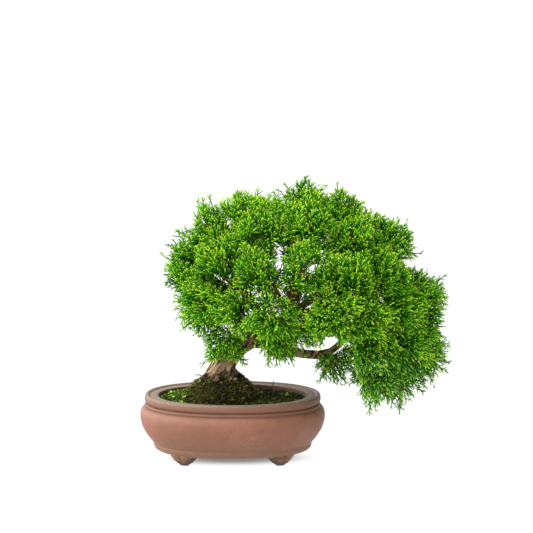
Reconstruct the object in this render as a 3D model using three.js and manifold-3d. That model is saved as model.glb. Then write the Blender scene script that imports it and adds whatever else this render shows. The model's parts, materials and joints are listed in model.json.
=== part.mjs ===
// A Chinese juniper bonsai (Juniperus chinensis) growing in an oval pot of unglazed clay.
// Millimetres, +Z up, the viewer's side is -Y. Everything is drawn about the middle of the pot,
// on the plane its four feet stand on, and the last lines move the whole tree so that
// the origin is the middle of the base of its bounding box.

import * as THREE from "three";
import { mergeVertices } from "three/addons/utils/BufferGeometryUtils.js";
import Module from "manifold-3d";

const wasm = await Module();
wasm.setup();

// The pot, measured at its belly, and the height of its rim.
const potHalfLength = 100;
const potHalfWidth = 78;
const potRimZ = 71;
const ovalPower = 2.2; // 2 is an ellipse, more is squarer
const potSegments = 32;

// Clay outside, from the middle of the underside to the rim: how far in from the belly, and the height.
const outerProfile = [
  [30, 10],
  [20, 11.5],
  [16.4, 15],
  [18, 17.4],
  [12, 24],
  [5, 34],
  [0.8, 44],
  [0, 50],
  [2, 55],
  [7.4, 57.8],
  [5.6, 60.2],
  [7.6, 62.4],
  [4.3, 64.4],
  [4.2, 68.5],
  [6.6, potRimZ],
];
// Clay inside, from the ledge of the rim down to the floor.
const innerProfile = [
  [20, 69.6],
  [20, 64.5],
  [9.5, 54],
  [11, 38],
  [22, 23],
  [32, 15.5],
];
const potFloorZ = 15.5;

// A foot is a carved bracket under each corner of the oval.
const foot = { x: 51, y: 38, turn: 0.58, halfLength: 14.5, halfDepth: 9.5, sides: 12 };
const footLobes = { count: 6, depth: 0.07 };
// How high on the foot, and its share of the full outline there.
const footRings = [
  [0, 0.55],
  [6, 0.95],
  [12.5, 0.9],
];

// Two drain holes through the floor, each covered inside by a square of plastic mesh.
const drain = { x: 36, radius: 7, sides: 12 };
const screen = { half: 11, thickness: 1.2, mesh: 6, bar: 2, count: 2 };

const gap = 0.35; // between pieces that touch

// The soil: its level at the rim, and the mound that the trunk stands on.
const soilLevel = 67.5;
const mound = { x: -12, top: 92, flat: 12, footX: 60, footY: 49 };
const soilBumps = { height: 0.7, alongX: 0.31, alongY: 0.37 };

// The wood: each limb is a route of [x, y, z, radius], from the limb it leaves to its last fork.
// "feeds" is the number of the spray that the limb's end carries, and no twig leaves its first "bare" points.
const limbs = [
  {
    name: "trunk",
    sides: 10,
    bare: 8,
    feeds: 1,
    route: [
      [-13, 0, 64, 13],
      [-13, 0, 82, 17],
      [-12, 0, 91, 17],
      [-10.5, 0, 98, 14],
      [-8, 0, 105, 12.3],
      [-2, -1, 113, 11.2],
      [8, -2, 123, 10.2],
      [21, -1, 132, 9.6],
      [37, 1, 138.5, 9.2],
      [53, 3, 145, 8.4],
      [63, 4, 157, 7.4],
      [68, 4, 176, 6.2],
      [69, 3, 198, 5.2],
      [70, 0, 219, 4.2],
      [70, -2, 238, 3.2],
    ],
  },
  {
    name: "low branch",
    sides: 6,
    bare: 5,
    feeds: 26,
    route: [
      [18, -2, 129, 7.6],
      [33, -4, 127, 7],
      [45, -6, 123, 6.4],
      [59, -7, 119, 5.9],
      [74, -7, 116, 5.4],
      [91, -6, 114.5, 5],
      [105, -5, 117, 4.6],
      [114, -3, 124, 4.3],
      [122, 0, 132, 4],
      [136, 4, 137, 3.6],
      [156, 6, 133, 3.1],
      [172, 4, 124, 2.6],
    ],
  },
  {
    name: "upper right branch",
    sides: 5,
    bare: 1,
    feeds: 44,
    route: [
      [50, 5, 144, 5],
      [62, 10, 143, 4.6],
      [76, 13, 141, 4.1],
      [90, 14, 137, 3.7],
      [103, 14, 133, 3.4],
      [118, 17, 134, 3.2],
      [136, 24, 138, 2.8],
      [156, 31, 138, 2.4],
    ],
  },
  {
    name: "left branch",
    sides: 5,
    bare: 1,
    feeds: 13,
    route: [
      [34, 0, 139, 6],
      [31, -14, 152, 5.6],
      [26, -26, 168, 5.2],
      [15, -33, 184, 4.6],
      [4, -32, 194, 4],
      [-8, -24, 202, 3.2],
      [-16, -12, 206, 2.6],
    ],
  },
  {
    name: "upper left branch",
    sides: 5,
    bare: 1,
    feeds: 0,
    route: [
      [62, 4, 156, 5],
      [50, -6, 176, 4.4],
      [38, -12, 198, 3.8],
      [28, -14, 220, 3.1],
      [20, -8, 237, 2.5],
    ],
  },
  {
    name: "upper right stem",
    sides: 5,
    bare: 1,
    feeds: 3,
    route: [
      [68, 4, 178, 4.8],
      [86, 2, 192, 4.3],
      [106, -2, 206, 3.7],
      [124, -3, 224, 3],
    ],
  },
  {
    name: "front right branch",
    sides: 5,
    bare: 1,
    feeds: 19,
    route: [
      [62, 4, 156, 5.2],
      [84, -12, 163, 4.7],
      [104, -30, 172, 4.1],
      [121, -48, 177, 3.4],
    ],
  },
  {
    name: "far right branch",
    sides: 5,
    bare: 1,
    feeds: 21,
    route: [
      [122, 0, 132, 3.9],
      [142, -8, 148, 3.6],
      [162, -10, 160, 3.1],
      [174, -6, 172, 2.6],
    ],
  },
  {
    name: "back branch",
    sides: 5,
    bare: 1,
    feeds: 35,
    route: [
      [56, 3, 149, 5.6],
      [60, 26, 166, 5],
      [64, 44, 182, 4.3],
      [68, 58, 196, 3.5],
    ],
  },
  {
    name: "back left branch",
    sides: 5,
    bare: 1,
    feeds: 33,
    route: [
      [40, 2, 140, 5],
      [26, 20, 158, 4.5],
      [12, 34, 176, 3.8],
      [0, 42, 192, 3],
    ],
  },
  {
    name: "back right branch",
    sides: 5,
    bare: 1,
    feeds: 37,
    route: [
      [63, 4, 158, 5],
      [86, 22, 170, 4.5],
      [110, 36, 180, 3.9],
      [132, 44, 188, 3.1],
    ],
  },
  {
    name: "front branch",
    sides: 5,
    bare: 1,
    feeds: 17,
    route: [
      [30, -2, 137, 4.6],
      [36, -26, 150, 4.2],
      [42, -48, 160, 3.6],
      [46, -68, 166, 2.9],
    ],
  },
];

// Surface roots: the compass bearing of each in degrees and its length over the mound.
const roots = [
  [-158, 30],
  [-104, 22],
  [-42, 29],
  [28, 33],
  [112, 27],
];
const rootSides = 5;
// Along a root: its share of the length, its height over the soil, and its radius.
const rootProfile = [
  [0.25, 5, 5.6],
  [0.5, 1.2, 4.4],
  [0.8, -0.6, 3.2],
  [1, -3.2, 2],
];

// The leafy sprays, numbered in order: [x, y, z, reach], the reach being from the middle to the tips.
const sprays = [
  // 0 to 3, over the top, left to right
  [18, 0, 266, 29],
  [70, 2, 282, 30],
  [117, 0, 270, 29],
  [148, 0, 249, 29],
  // 4 to 6, top, viewer's side
  [32, -46, 256, 29],
  [82, -50, 262, 30],
  [126, -46, 244, 29],
  // 7 to 12, upper band, viewer's side, left to right
  [-24, -4, 246, 28],
  [-14, -52, 222, 29],
  [26, -84, 218, 29],
  [74, -92, 222, 30],
  [120, -84, 212, 30],
  [162, -50, 210, 30],
  // 13 to 15, left lobe
  [-44, 0, 209, 31],
  [-30, -44, 178, 30],
  [-34, -4, 162, 27],
  // 16 to 21, middle band, viewer's side to the far right
  [4, -82, 176, 29],
  [42, -102, 172, 30],
  [106, -106, 170, 30],
  [148, -80, 166, 30],
  [182, -44, 168, 30],
  [203, 0, 184, 31],
  // 22 to 25, right end
  [174, 2, 230, 28],
  [207, -4, 147, 29],
  [152, -62, 124, 29],
  [190, -38, 120, 29],
  // 26 to 30, hanging part on the right
  [205, 2, 109, 29],
  [182, -4, 84, 26],
  [152, -12, 82, 29],
  [108, -14, 101, 23],
  [164, -48, 92, 27],
  // 31 to 38, upper bands, far side
  [34, 50, 256, 29],
  [82, 52, 260, 30],
  [-14, 52, 218, 30],
  [26, 86, 216, 30],
  [74, 94, 218, 30],
  [120, 84, 212, 30],
  [162, 52, 208, 30],
  [126, 48, 244, 29],
  // 39 to 46, lower bands, far side
  [-26, 44, 176, 29],
  [8, 80, 172, 29],
  [46, 100, 172, 30],
  [106, 100, 170, 30],
  [148, 76, 162, 30],
  [187, 44, 156, 30],
  [158, 52, 116, 29],
  [190, 40, 110, 28],
  // 47 and 48, low sprays in front of the trunk and of the low branch
  [-10, -27, 126, 25],
  [46, -36, 145, 24],
];

// A spray is a small leafy core on the end of a twig, with forked shoots standing out of it.
const shoot = {
  reachEach: 4.4, // the spray's reach over this is its number of shoots
  radius: 2.3, // at its foot in the core
  uneven: 0.12,
  spread: 2.1, // the widest angle from the spray's own direction, in radians
  forksAt: [0.42, 0.6], // of the way along
  forkAngle: 0.62,
  forkWidth: 0.72, // of the shoot there
  forkLength: 0.38, // of the spray's reach
  shortest: 0.45, // of its length, where it is cut back from a neighbour, in steps
  step: 0.08,
};
const twig = {
  sides: 3,
  radius: 2,
  tipRadius: 1.2,
  stub: 4.5, // of the spray's own stem outside its core
  straight: 5, // at least, before the stub
  bendAt: 0.45, // of the way
  carryOn: 0.15, // of the spray's reach, past a limb's end
  sag: 0.12, // of the spray's reach
};
const core = { share: 0.24, rooted: 0.3 }; // of the spray's reach, and of the core's radius under a shoot
const trunkRidges = { count: 5, depth: 0.2, turn: 0.6, fadeFrom: 84, fadeTo: 124 };

// Seeded random numbers between 0 and 1.
function seededRandom(seed) {
  let state = seed;
  return () => {
    state = (Math.imul(state, 1664525) + 1013904223) >>> 0;
    return state / 4294967296;
  };
}

const vector = (p) => new THREE.Vector3(p[0], p[1], p[2]);

// A three.js geometry as a manifold-3d solid, and back.
function solidOf(geometry) {
  const bare = new THREE.BufferGeometry();
  bare.setAttribute("position", geometry.getAttribute("position"));
  bare.setIndex(geometry.index);
  const merged = mergeVertices(bare, 1e-4);
  return new wasm.Manifold(
    new wasm.Mesh({
      numProp: 3,
      vertProperties: merged.attributes.position.array,
      triVerts: new Uint32Array(merged.index.array),
    }),
  );
}

function geometryOf(solid) {
  const mesh = solid.getMesh();
  const geometry = new THREE.BufferGeometry();
  geometry.setAttribute("position", new THREE.BufferAttribute(mesh.vertProperties, 3));
  geometry.setIndex(new THREE.BufferAttribute(mesh.triVerts, 1));
  geometry.computeVertexNormals();
  return geometry;
}

const joined = (solids) => wasm.Manifold.union(solids);

// A closed skin through rings of points, all counter-clockwise about the way the rings run.
function loft(rings) {
  const n = rings[0].length;
  const index = [];
  for (let r = 0; r + 1 < rings.length; r++) {
    for (let k = 0; k < n; k++) {
      const a = r * n + k;
      const b = r * n + ((k + 1) % n);
      index.push(a, b, b + n, a, b + n, a + n);
    }
  }
  const last = (rings.length - 1) * n;
  for (let k = 1; k + 1 < n; k++) {
    index.push(0, k + 1, k, last, last + k, last + k + 1);
  }
  const geometry = new THREE.BufferGeometry().setFromPoints(rings.flat());
  geometry.setIndex(index);
  return solidOf(geometry);
}

// One ring of the pot's oval, a given distance in from the belly.
function ovalRing(inset, z, share = 1, centreX = 0) {
  const bend = (s) => Math.sign(s) * Math.abs(s) ** (2 / ovalPower);
  return Array.from({ length: potSegments }, (_, k) => {
    const angle = (2 * Math.PI * k) / potSegments;
    return new THREE.Vector3(
      centreX + share * (potHalfLength - inset) * bend(Math.cos(angle)),
      share * (potHalfWidth - inset) * bend(Math.sin(angle)),
      z,
    );
  });
}

// The pot: clay wall, floor, carved feet and drain holes, fired as one piece.
function footSolid(sideX, sideY) {
  const turn = sideX * sideY * -foot.turn;
  const rings = footRings.map(([z, share]) =>
    Array.from({ length: foot.sides }, (_, k) => {
      const angle = (2 * Math.PI * k) / foot.sides;
      const lobe = 1 + footLobes.depth * Math.cos(footLobes.count * angle);
      const along = foot.halfLength * share * lobe * Math.cos(angle);
      const across = foot.halfDepth * share * lobe * Math.sin(angle);
      return new THREE.Vector3(
        sideX * foot.x + along * Math.cos(turn) - across * Math.sin(turn),
        sideY * foot.y + along * Math.sin(turn) + across * Math.cos(turn),
        z,
      );
    }),
  );
  return loft(rings);
}

function drainHole(side) {
  const geometry = new THREE.CylinderGeometry(drain.radius, drain.radius, 2 * potFloorZ, drain.sides);
  return solidOf(geometry.rotateX(Math.PI / 2).translate(side * drain.x, 0, potFloorZ));
}

function potSolid() {
  const wall = loft([...outerProfile, ...innerProfile].map(([inset, z]) => ovalRing(inset, z)));
  const feet = [-1, 1].flatMap((x) => [-1, 1].map((y) => footSolid(x, y)));
  return joined([wall, ...feet]).subtract(joined([drainHole(-1), drainHole(1)]));
}

function boxSolid(width, depth, height, x, y, z) {
  return solidOf(new THREE.BoxGeometry(width, depth, height).translate(x, y, z));
}

// A square of drain mesh lying on the floor over its hole.
function screenSolid(side) {
  const x = side * drain.x;
  const z = potFloorZ + gap + screen.thickness / 2;
  const steps = Array.from({ length: screen.count }, (_, i) => i - (screen.count - 1) / 2);
  const pitch = screen.mesh + screen.bar;
  const openings = steps.flatMap((i) =>
    steps.map((j) => boxSolid(screen.mesh, screen.mesh, 2 * screen.thickness, x + i * pitch, j * pitch, z)),
  );
  const plate = boxSolid(2 * screen.half, 2 * screen.half, screen.thickness, x, 0, z);
  return plate.subtract(joined(openings));
}

// A tube along stations of { at, radius }, with its ribs if "ridge" gives a factor for an angle and a place.
function tube(stations, sides, ridge = () => 1) {
  let normal = new THREE.Vector3(0, 1, 0);
  const rings = stations.map(({ at, radius }, i) => {
    const before = stations[Math.max(i - 1, 0)].at;
    const after = stations[Math.min(i + 1, stations.length - 1)].at;
    const along = after.clone().sub(before).normalize();
    normal = normal.clone().addScaledVector(along, -normal.dot(along)).normalize();
    const side = along.clone().cross(normal);
    return Array.from({ length: sides }, (_, k) => {
      const angle = (2 * Math.PI * k) / sides;
      const reach = radius * ridge(angle, at);
      return at
        .clone()
        .addScaledVector(normal, reach * Math.cos(angle))
        .addScaledVector(side, reach * Math.sin(angle));
    });
  });
  return loft(rings);
}

// Smooth stations through a route of [x, y, z, radius].
function stationsOf(route, steps) {
  const curve = new THREE.CatmullRomCurve3(route.map(vector), false, "centripetal");
  return Array.from({ length: steps + 1 }, (_, i) => {
    const place = (i / steps) * (route.length - 1);
    const low = Math.min(Math.floor(place), route.length - 2);
    const radius = THREE.MathUtils.lerp(route[low][3], route[low + 1][3], place - low);
    return { at: curve.getPoint(i / steps), radius };
  });
}

const trunkRidge = (angle, at) => {
  const fade = THREE.MathUtils.inverseLerp(trunkRidges.fadeTo, trunkRidges.fadeFrom, at.z);
  const depth = trunkRidges.depth * THREE.MathUtils.clamp(fade, 0, 1);
  return 1 + depth * Math.cos(trunkRidges.count * angle + trunkRidges.turn);
};

// The height of the soil at a place.
function soilZ(x, y) {
  const away = Math.hypot((x - mound.x) / mound.footX, y / mound.footY) * mound.footX;
  const slope = THREE.MathUtils.smoothstep(away, mound.flat, mound.footX);
  const bumps = Math.sin(x * soilBumps.alongX) * Math.cos(y * soilBumps.alongY);
  return THREE.MathUtils.lerp(mound.top, soilLevel, slope) + soilBumps.height * bumps;
}

// A root runs out from the foot of the trunk, over the mound and down into it.
function rootStations([bearing, length]) {
  const angle = THREE.MathUtils.degToRad(bearing);
  const route = rootProfile.map(([share, above, radius]) => {
    const x = mound.x + share * length * Math.cos(angle);
    const y = share * length * Math.sin(angle);
    return [x, y, soilZ(x, y) + above, radius];
  });
  return stationsOf(route, route.length - 1);
}

// Where each spray hangs on the wood: on the limb that feeds it, or on the nearest one, one point back.
const bodies = sprays.map(([x, y, z, reach]) => ({ centre: vector([x, y, z]), reach }));
const limbStations = limbs.map((limb) => stationsOf(limb.route, limb.route.length - 1));
const crownMiddle = new THREE.Vector3(82, 0, 175);

function twigStart(index) {
  const centre = bodies[index].centre;
  const feeding = limbs.findIndex((limb) => limb.feeds === index);
  if (feeding >= 0) {
    return { start: limbStations[feeding].at(-1), before: limbStations[feeding].at(-2) };
  }
  let nearest = { distance: Infinity };
  limbStations.forEach((stations, limb) => {
    stations.slice(limbs[limb].bare).forEach((station, i) => {
      const start = stations[limbs[limb].bare + i - 1];
      const distance = station.at.distanceTo(centre);
      if (distance < nearest.distance) nearest = { distance, start };
    });
  });
  return nearest;
}

// The twig's stations, and the root of the spray just past the twig's end.
function twigTo(index) {
  const { centre, reach } = bodies[index];
  const { start, before } = twigStart(index);
  const room = core.share * reach + twig.stub + twig.straight;
  const share = Math.min(twig.bendAt, 1 - room / start.at.distanceTo(centre));
  const middle = start.at.clone().lerp(centre, share);
  if (before) middle.addScaledVector(start.at.clone().sub(before.at).normalize(), reach * twig.carryOn);
  else middle.z -= reach * twig.sag;
  const toward = centre.clone().sub(middle).normalize();
  const root = centre.clone().addScaledVector(toward, -(core.share * reach + twig.stub));
  const end = root.clone().addScaledVector(toward, -gap);
  const radius = Math.min(start.radius, twig.radius);
  const stations = [
    { at: start.at, radius },
    { at: middle, radius: (radius + twig.tipRadius) / 2 },
    { at: end, radius: twig.tipRadius },
  ];
  return { stations, root, toward };
}

const twigs = bodies.map((_, index) => twigTo(index));

function woodSolid() {
  const parts = limbs.map((limb, i) =>
    tube(limbStations[i], limb.sides, limb.name === "trunk" ? trunkRidge : undefined),
  );
  parts.push(...roots.map((root) => tube(rootStations(root), rootSides)));
  parts.push(...twigs.map(({ stations }) => tube(stations, twig.sides)));
  return joined(parts);
}

// The stations of a tube that is a gap wider all round and longer at each end.
function inflated(stations) {
  const moved = (end, next) => end.at.clone().addScaledVector(end.at.clone().sub(next.at).normalize(), gap);
  const ends = [moved(stations[0], stations[1]), moved(stations.at(-1), stations.at(-2))];
  return stations.map(({ at, radius }, i) => ({
    at: i === 0 ? ends[0] : i === stations.length - 1 ? ends[1] : at,
    radius: radius + gap,
  }));
}

// The soil fills the pot up to its rim and is heaped round the foot of the trunk.
const soilSides = innerProfile.filter(([, z]) => z < soilLevel).reverse();
const soilShares = [1, 0.78, 0.55, 0.3];

function soilSolid(screens) {
  const inset = gap * 1.3;
  const sides = soilSides.map(([inner, z]) => ovalRing(inner + inset, z === potFloorZ ? z + gap : z));
  const tops = soilShares.map((share) =>
    ovalRing(innerProfile[0][0] + inset, 0, share, mound.x * (1 - share)).map((p) =>
      p.setZ(soilZ(p.x, p.y)),
    ),
  );
  const hollow = joined([
    tube(inflated(limbStations[0].slice(0, 6)), limbs[0].sides, trunkRidge),
    ...roots.map((root) => tube(inflated(rootStations(root)), rootSides)),
    ...screens.map((solid) => {
      const box = solid.boundingBox();
      const size = box.max.map((v, k) => v - box.min[k] + 2 * gap);
      const middle = box.max.map((v, k) => (v + box.min[k]) / 2);
      return boxSolid(...size, ...middle);
    }),
  ]);
  return loft([...sides, ...tops]).subtract(hollow);
}

// How far a point lies inside spray "index"'s own share of the crown, which ends half way to its neighbours.
function insideShare(point, index) {
  const own = bodies[index];
  const power = (body) => point.distanceToSquared(body.centre) - body.reach ** 2;
  return bodies.reduce((least, other, i) => {
    if (i === index) return least;
    const between = other.centre.distanceTo(own.centre);
    return Math.min(least, (power(other) - power(own)) / (2 * between));
  }, Infinity);
}

// The least distance between the segments p1-q1 and p2-q2.
function segmentDistance(p1, q1, p2, q2) {
  const d1 = q1.clone().sub(p1);
  const d2 = q2.clone().sub(p2);
  const r = p1.clone().sub(p2);
  const a = d1.dot(d1);
  const e = d2.dot(d2);
  const f = d2.dot(r);
  const b = d1.dot(d2);
  const c = d1.dot(r);
  const flat = a * e - b * b;
  const limit = (v) => THREE.MathUtils.clamp(v, 0, 1);
  let s = flat > 1e-9 ? limit((b * f - c * e) / flat) : 0;
  const t = limit((b * s + f) / e);
  s = a > 0 ? limit((b * t - c) / a) : 0;
  return p1.clone().addScaledVector(d1, s).distanceTo(p2.clone().addScaledVector(d2, t));
}

const ridgesOf = (stations) => (stations === limbStations[0] ? 1 + trunkRidges.depth : 1);
const woodSegments = [...limbStations, ...twigs.map((t) => t.stations)].flatMap((stations) =>
  stations.slice(1).map((station, i) => ({
    from: stations[i].at,
    to: station.at,
    radius: Math.max(stations[i].radius, station.radius) * ridgesOf(stations),
  })),
);

const woodDistance = (from, to) =>
  woodSegments.reduce(
    (least, s) => Math.min(least, segmentDistance(from, to, s.from, s.to) - s.radius),
    Infinity,
  );

// The tip of a shoot, drawn back until the shoot is clear of the wood and of the sprays beside it.
function clearTip(from, tip, radius, index) {
  const start = insideShare(from, index) - gap;
  const end = insideShare(tip, index) - gap;
  if (start < radius) return null;
  const longest = end < 0 ? start / (start - end) : 1;
  for (let share = longest; share > shoot.shortest; share -= shoot.step) {
    const reached = from.clone().lerp(tip, share);
    if (woodDistance(from, reached) > radius + gap) return reached;
  }
  return null;
}

// A three-sided spike, one edge of it on the side away from "out": its solid, its way and its faces' sides.
function spike(from, tip, radius, out) {
  const along = tip.clone().sub(from).normalize();
  const first = out.clone().addScaledVector(along, -out.dot(along)).normalize();
  const across = along.clone().cross(first);
  const toward = (angle) =>
    first.clone().multiplyScalar(Math.cos(angle)).addScaledVector(across, Math.sin(angle));
  const corners = [60, 180, 300].map((degrees) =>
    from.clone().addScaledVector(toward(THREE.MathUtils.degToRad(degrees)), radius),
  );
  const geometry = new THREE.BufferGeometry().setFromPoints([...corners, tip]);
  geometry.setIndex([0, 2, 1, 0, 1, 3, 1, 2, 3, 2, 0, 3]);
  const faces = [0, 120, 240].map((degrees) => toward(THREE.MathUtils.degToRad(degrees)));
  return { solid: solidOf(geometry), along, faces };
}

// A shoot with a fork out of two of its faces.
function shootSolids(from, tip, reach, index, random) {
  const side = new THREE.Vector3(random() - 0.5, random() - 0.5, random() - 0.5);
  const stem = spike(from, tip, shoot.radius, side);
  const forks = shoot.forksAt.map((share, k) => {
    const start = from.clone().lerp(tip, share);
    const radius = shoot.radius * (1 - share) * shoot.forkWidth;
    const way = stem.along
      .clone()
      .multiplyScalar(Math.cos(shoot.forkAngle))
      .addScaledVector(stem.faces[k], Math.sin(shoot.forkAngle));
    const end = clearTip(start, start.clone().addScaledVector(way, reach * shoot.forkLength), radius, index);
    return end && spike(start, end, radius, stem.faces[k]).solid;
  });
  return [stem.solid, ...forks.filter(Boolean)];
}

// Directions spread evenly over a cap, "spread" wide all round "outward".
function capDirections(outward, count, phase) {
  const across = new THREE.Vector3(0, 0, 1).cross(outward).normalize();
  const upward = outward.clone().cross(across);
  const goldenAngle = Math.PI * (3 - Math.sqrt(5));
  return Array.from({ length: count }, (_, k) => {
    const lean = Math.acos(1 - ((k + 0.4) / count) * (1 - Math.cos(shoot.spread)));
    const bearing = phase + k * goldenAngle;
    return outward
      .clone()
      .multiplyScalar(Math.cos(lean))
      .addScaledVector(across, Math.sin(lean) * Math.cos(bearing))
      .addScaledVector(upward, Math.sin(lean) * Math.sin(bearing));
  });
}

function coreRadius(index) {
  const { centre, reach } = bodies[index];
  const room = Math.min(insideShare(centre, index), woodDistance(centre, centre));
  return Math.min(core.share * reach, room - gap);
}

function spraySolid(index) {
  const { centre, reach } = bodies[index];
  const { root, toward } = twigs[index];
  const random = seededRandom(101 + index * 17);
  const radius = coreRadius(index);
  const heart = new THREE.IcosahedronGeometry(radius, 0).rotateZ(index).translate(...centre);
  const stub = [root, centre].map((at) => ({ at, radius: twig.tipRadius }));
  const outward = centre.clone().sub(crownMiddle).normalize().add(toward).normalize();
  const count = Math.round(reach / shoot.reachEach);
  const shoots = capDirections(outward, count, random() * 2 * Math.PI).flatMap((way) => {
    const from = centre.clone().addScaledVector(way, radius * core.rooted);
    const length = reach * (1 + shoot.uneven * (random() - 0.5));
    const tip = clearTip(from, centre.clone().addScaledVector(way, length), shoot.radius, index);
    return tip ? shootSolids(from, tip, reach, index, random) : [];
  });
  return joined([solidOf(heart), tube(stub, twig.sides), ...shoots]);
}

// Colours and finishes.
const clay = new THREE.MeshStandardMaterial({ color: 0x9a6a55, roughness: 0.8, metalness: 0 });
const plasticMesh = new THREE.MeshStandardMaterial({ color: 0x2a2d2c, roughness: 0.6, metalness: 0 });
const earth = new THREE.MeshStandardMaterial({ color: 0x2e2a18, roughness: 1, metalness: 0 });
const bark = new THREE.MeshStandardMaterial({ color: 0x5c4436, roughness: 0.95, metalness: 0 });
const foliage = new THREE.MeshStandardMaterial({ color: 0x4f9a22, roughness: 0.6, metalness: 0 });

function named(name, solid, material) {
  const mesh = new THREE.Mesh(geometryOf(solid), material);
  mesh.name = name;
  return mesh;
}

const screens = [-1, 1].map(screenSolid);
const bonsai = new THREE.Group();
bonsai.add(named("pot", potSolid(), clay));
bonsai.add(named("drain_mesh_left", screens[0], plasticMesh));
bonsai.add(named("drain_mesh_right", screens[1], plasticMesh));
bonsai.add(named("soil", soilSolid(screens), earth));
bonsai.add(named("trunk_and_branches", woodSolid(), bark));
bodies.forEach((_, index) => {
  const name = "leaf_spray_" + String(index).padStart(2, "0");
  bonsai.add(named(name, spraySolid(index), foliage));
});

// The origin goes to the middle of the base of the bounding box.
const box = new THREE.Box3().setFromObject(bonsai);
bonsai.position.set(-(box.min.x + box.max.x) / 2, -(box.min.y + box.max.y) / 2, -box.min.z);

export default bonsai;
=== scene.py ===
# A Chinese juniper bonsai in an oval pot of unglazed clay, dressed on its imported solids.
import json
import math
import random
from functools import partial

import bmesh
import bpy
import numpy as np
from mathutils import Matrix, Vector, noise
from numpy.linalg import norm

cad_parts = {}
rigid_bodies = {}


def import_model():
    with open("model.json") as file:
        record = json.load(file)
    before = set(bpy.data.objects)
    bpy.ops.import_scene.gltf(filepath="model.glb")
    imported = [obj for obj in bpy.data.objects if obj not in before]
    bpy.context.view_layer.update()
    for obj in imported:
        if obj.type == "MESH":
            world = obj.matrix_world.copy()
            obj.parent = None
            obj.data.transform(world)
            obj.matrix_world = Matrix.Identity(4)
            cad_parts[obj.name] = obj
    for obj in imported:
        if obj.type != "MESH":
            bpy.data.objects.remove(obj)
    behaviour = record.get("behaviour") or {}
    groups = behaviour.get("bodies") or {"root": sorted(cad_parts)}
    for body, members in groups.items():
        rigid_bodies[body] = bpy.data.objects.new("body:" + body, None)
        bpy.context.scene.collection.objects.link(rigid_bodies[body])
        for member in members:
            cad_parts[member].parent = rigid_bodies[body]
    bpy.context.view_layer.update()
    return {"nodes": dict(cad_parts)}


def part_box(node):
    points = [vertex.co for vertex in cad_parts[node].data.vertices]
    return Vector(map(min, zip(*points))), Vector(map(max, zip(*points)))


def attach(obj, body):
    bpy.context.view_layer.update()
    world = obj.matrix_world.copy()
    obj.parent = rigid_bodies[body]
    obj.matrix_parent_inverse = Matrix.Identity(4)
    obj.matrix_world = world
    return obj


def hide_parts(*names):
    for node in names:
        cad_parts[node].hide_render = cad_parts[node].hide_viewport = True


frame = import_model()
scene = bpy.context.scene
mm = 0.001

potLow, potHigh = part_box("pot")
potMiddle = Vector(((potLow[0] + potHigh[0]) / 2, (potLow[1] + potHigh[1]) / 2, potLow[2]))


def onPot(x, y, z):  # millimetres from the middle of the pot's base, to metres in the frame
    return potMiddle + Vector((x, y, z)) * mm


# Meshes

def inScene(name, data):
    obj = bpy.data.objects.new(name, data)
    scene.collection.objects.link(obj)
    return obj


def meshObject(name, vertices, faces, edges=()):
    mesh = bpy.data.meshes.new(name)
    mesh.from_pydata([tuple(v) for v in vertices], list(edges), [tuple(f) for f in faces])
    mesh.validate()
    return inScene(name, mesh)


def modify(obj, kind, **settings):
    modifier = obj.modifiers.new(kind.lower(), kind)
    for key, value in settings.items():
        setattr(modifier, key, value)
    return modifier


def finishedCopy(obj, name):  # the evaluated object as a plain mesh, with the working one removed
    graph = bpy.context.evaluated_depsgraph_get()
    mesh = bpy.data.meshes.new_from_object(
        obj.evaluated_get(graph), preserve_all_data_layers=True, depsgraph=graph
    )
    mesh.name = name
    bpy.data.objects.remove(obj)
    return inScene(name, mesh)


def mergedSolid(node):  # a CAD node's loose triangles, merged in a bmesh
    shape = bmesh.new()
    shape.from_mesh(frame["nodes"][node].data)
    bmesh.ops.remove_doubles(shape, verts=shape.verts, dist=2e-6)
    return shape


def smoothPath(points, steps):  # a Catmull-Rom curve through the points
    p = np.asarray(points, float)
    ends = np.vstack([2 * p[0] - p[1], p, 2 * p[-1] - p[-2]])
    out = []
    for i in range(len(p) - 1):
        a, b, c, d = ends[i:i + 4]
        for t in np.arange(steps) / steps:
            out.append(
                0.5 * (2 * b + (c - a) * t + (2 * a - 5 * b + 4 * c - d) * t**2
                       + (3 * b - a - 3 * c + d) * t**3)
            )
    out.append(p[-1])
    return np.array(out)


def loft(name, rings):  # a closed skin through rings that run upwards, counter-clockwise from above
    count = len(rings[0])
    vertices = [v for ring in rings for v in ring]
    faces = []
    for r in range(len(rings) - 1):
        for k in range(count):
            a, b = r * count + k, r * count + (k + 1) % count
            faces.append((a, b, b + count, a + count))
    faces.append(tuple(reversed(range(count))))
    faces.append(tuple(range((len(rings) - 1) * count, len(rings) * count)))
    return meshObject(name, vertices, faces)


def paint(obj, material, smooth=True):
    obj.data.materials.clear()
    obj.data.materials.append(material)
    obj.data.shade_smooth() if smooth else obj.data.shade_flat()
    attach(obj, "root")


def triangles(obj):
    obj.data.calc_loop_triangles()
    return len(obj.data.loop_triangles)


# Nodes

def addNode(tree, kind, inputs=(), out=0, stops=None, **settings):  # set and linked; gives an output
    node = tree.nodes.new(kind)
    for key, value in settings.items():
        setattr(node, key, value)
    for key, value in inputs.items() if isinstance(inputs, dict) else enumerate(inputs):
        if isinstance(value, bpy.types.NodeSocket):
            tree.links.new(value, node.inputs[key])
        else:
            node.inputs[key].default_value = value
    if stops:  # of a colour ramp: { place: sRGB hex }
        elements = node.color_ramp.elements
        for _ in range(len(stops) - 2):
            elements.new(0.5)
        for element, place in zip(elements, sorted(stops)):
            element.position = place
            element.color = linear(stops[place])
    return node.outputs[out] if node.outputs else None


def linear(hexColour):  # sRGB hex to linear, for Blender's sockets
    parts = [int(hexColour[i:i + 2], 16) / 255 for i in (1, 3, 5)]
    return tuple(c / 12.92 if c <= 0.04045 else ((c + 0.055) / 1.055) ** 2.4 for c in parts) + (1,)


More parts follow.
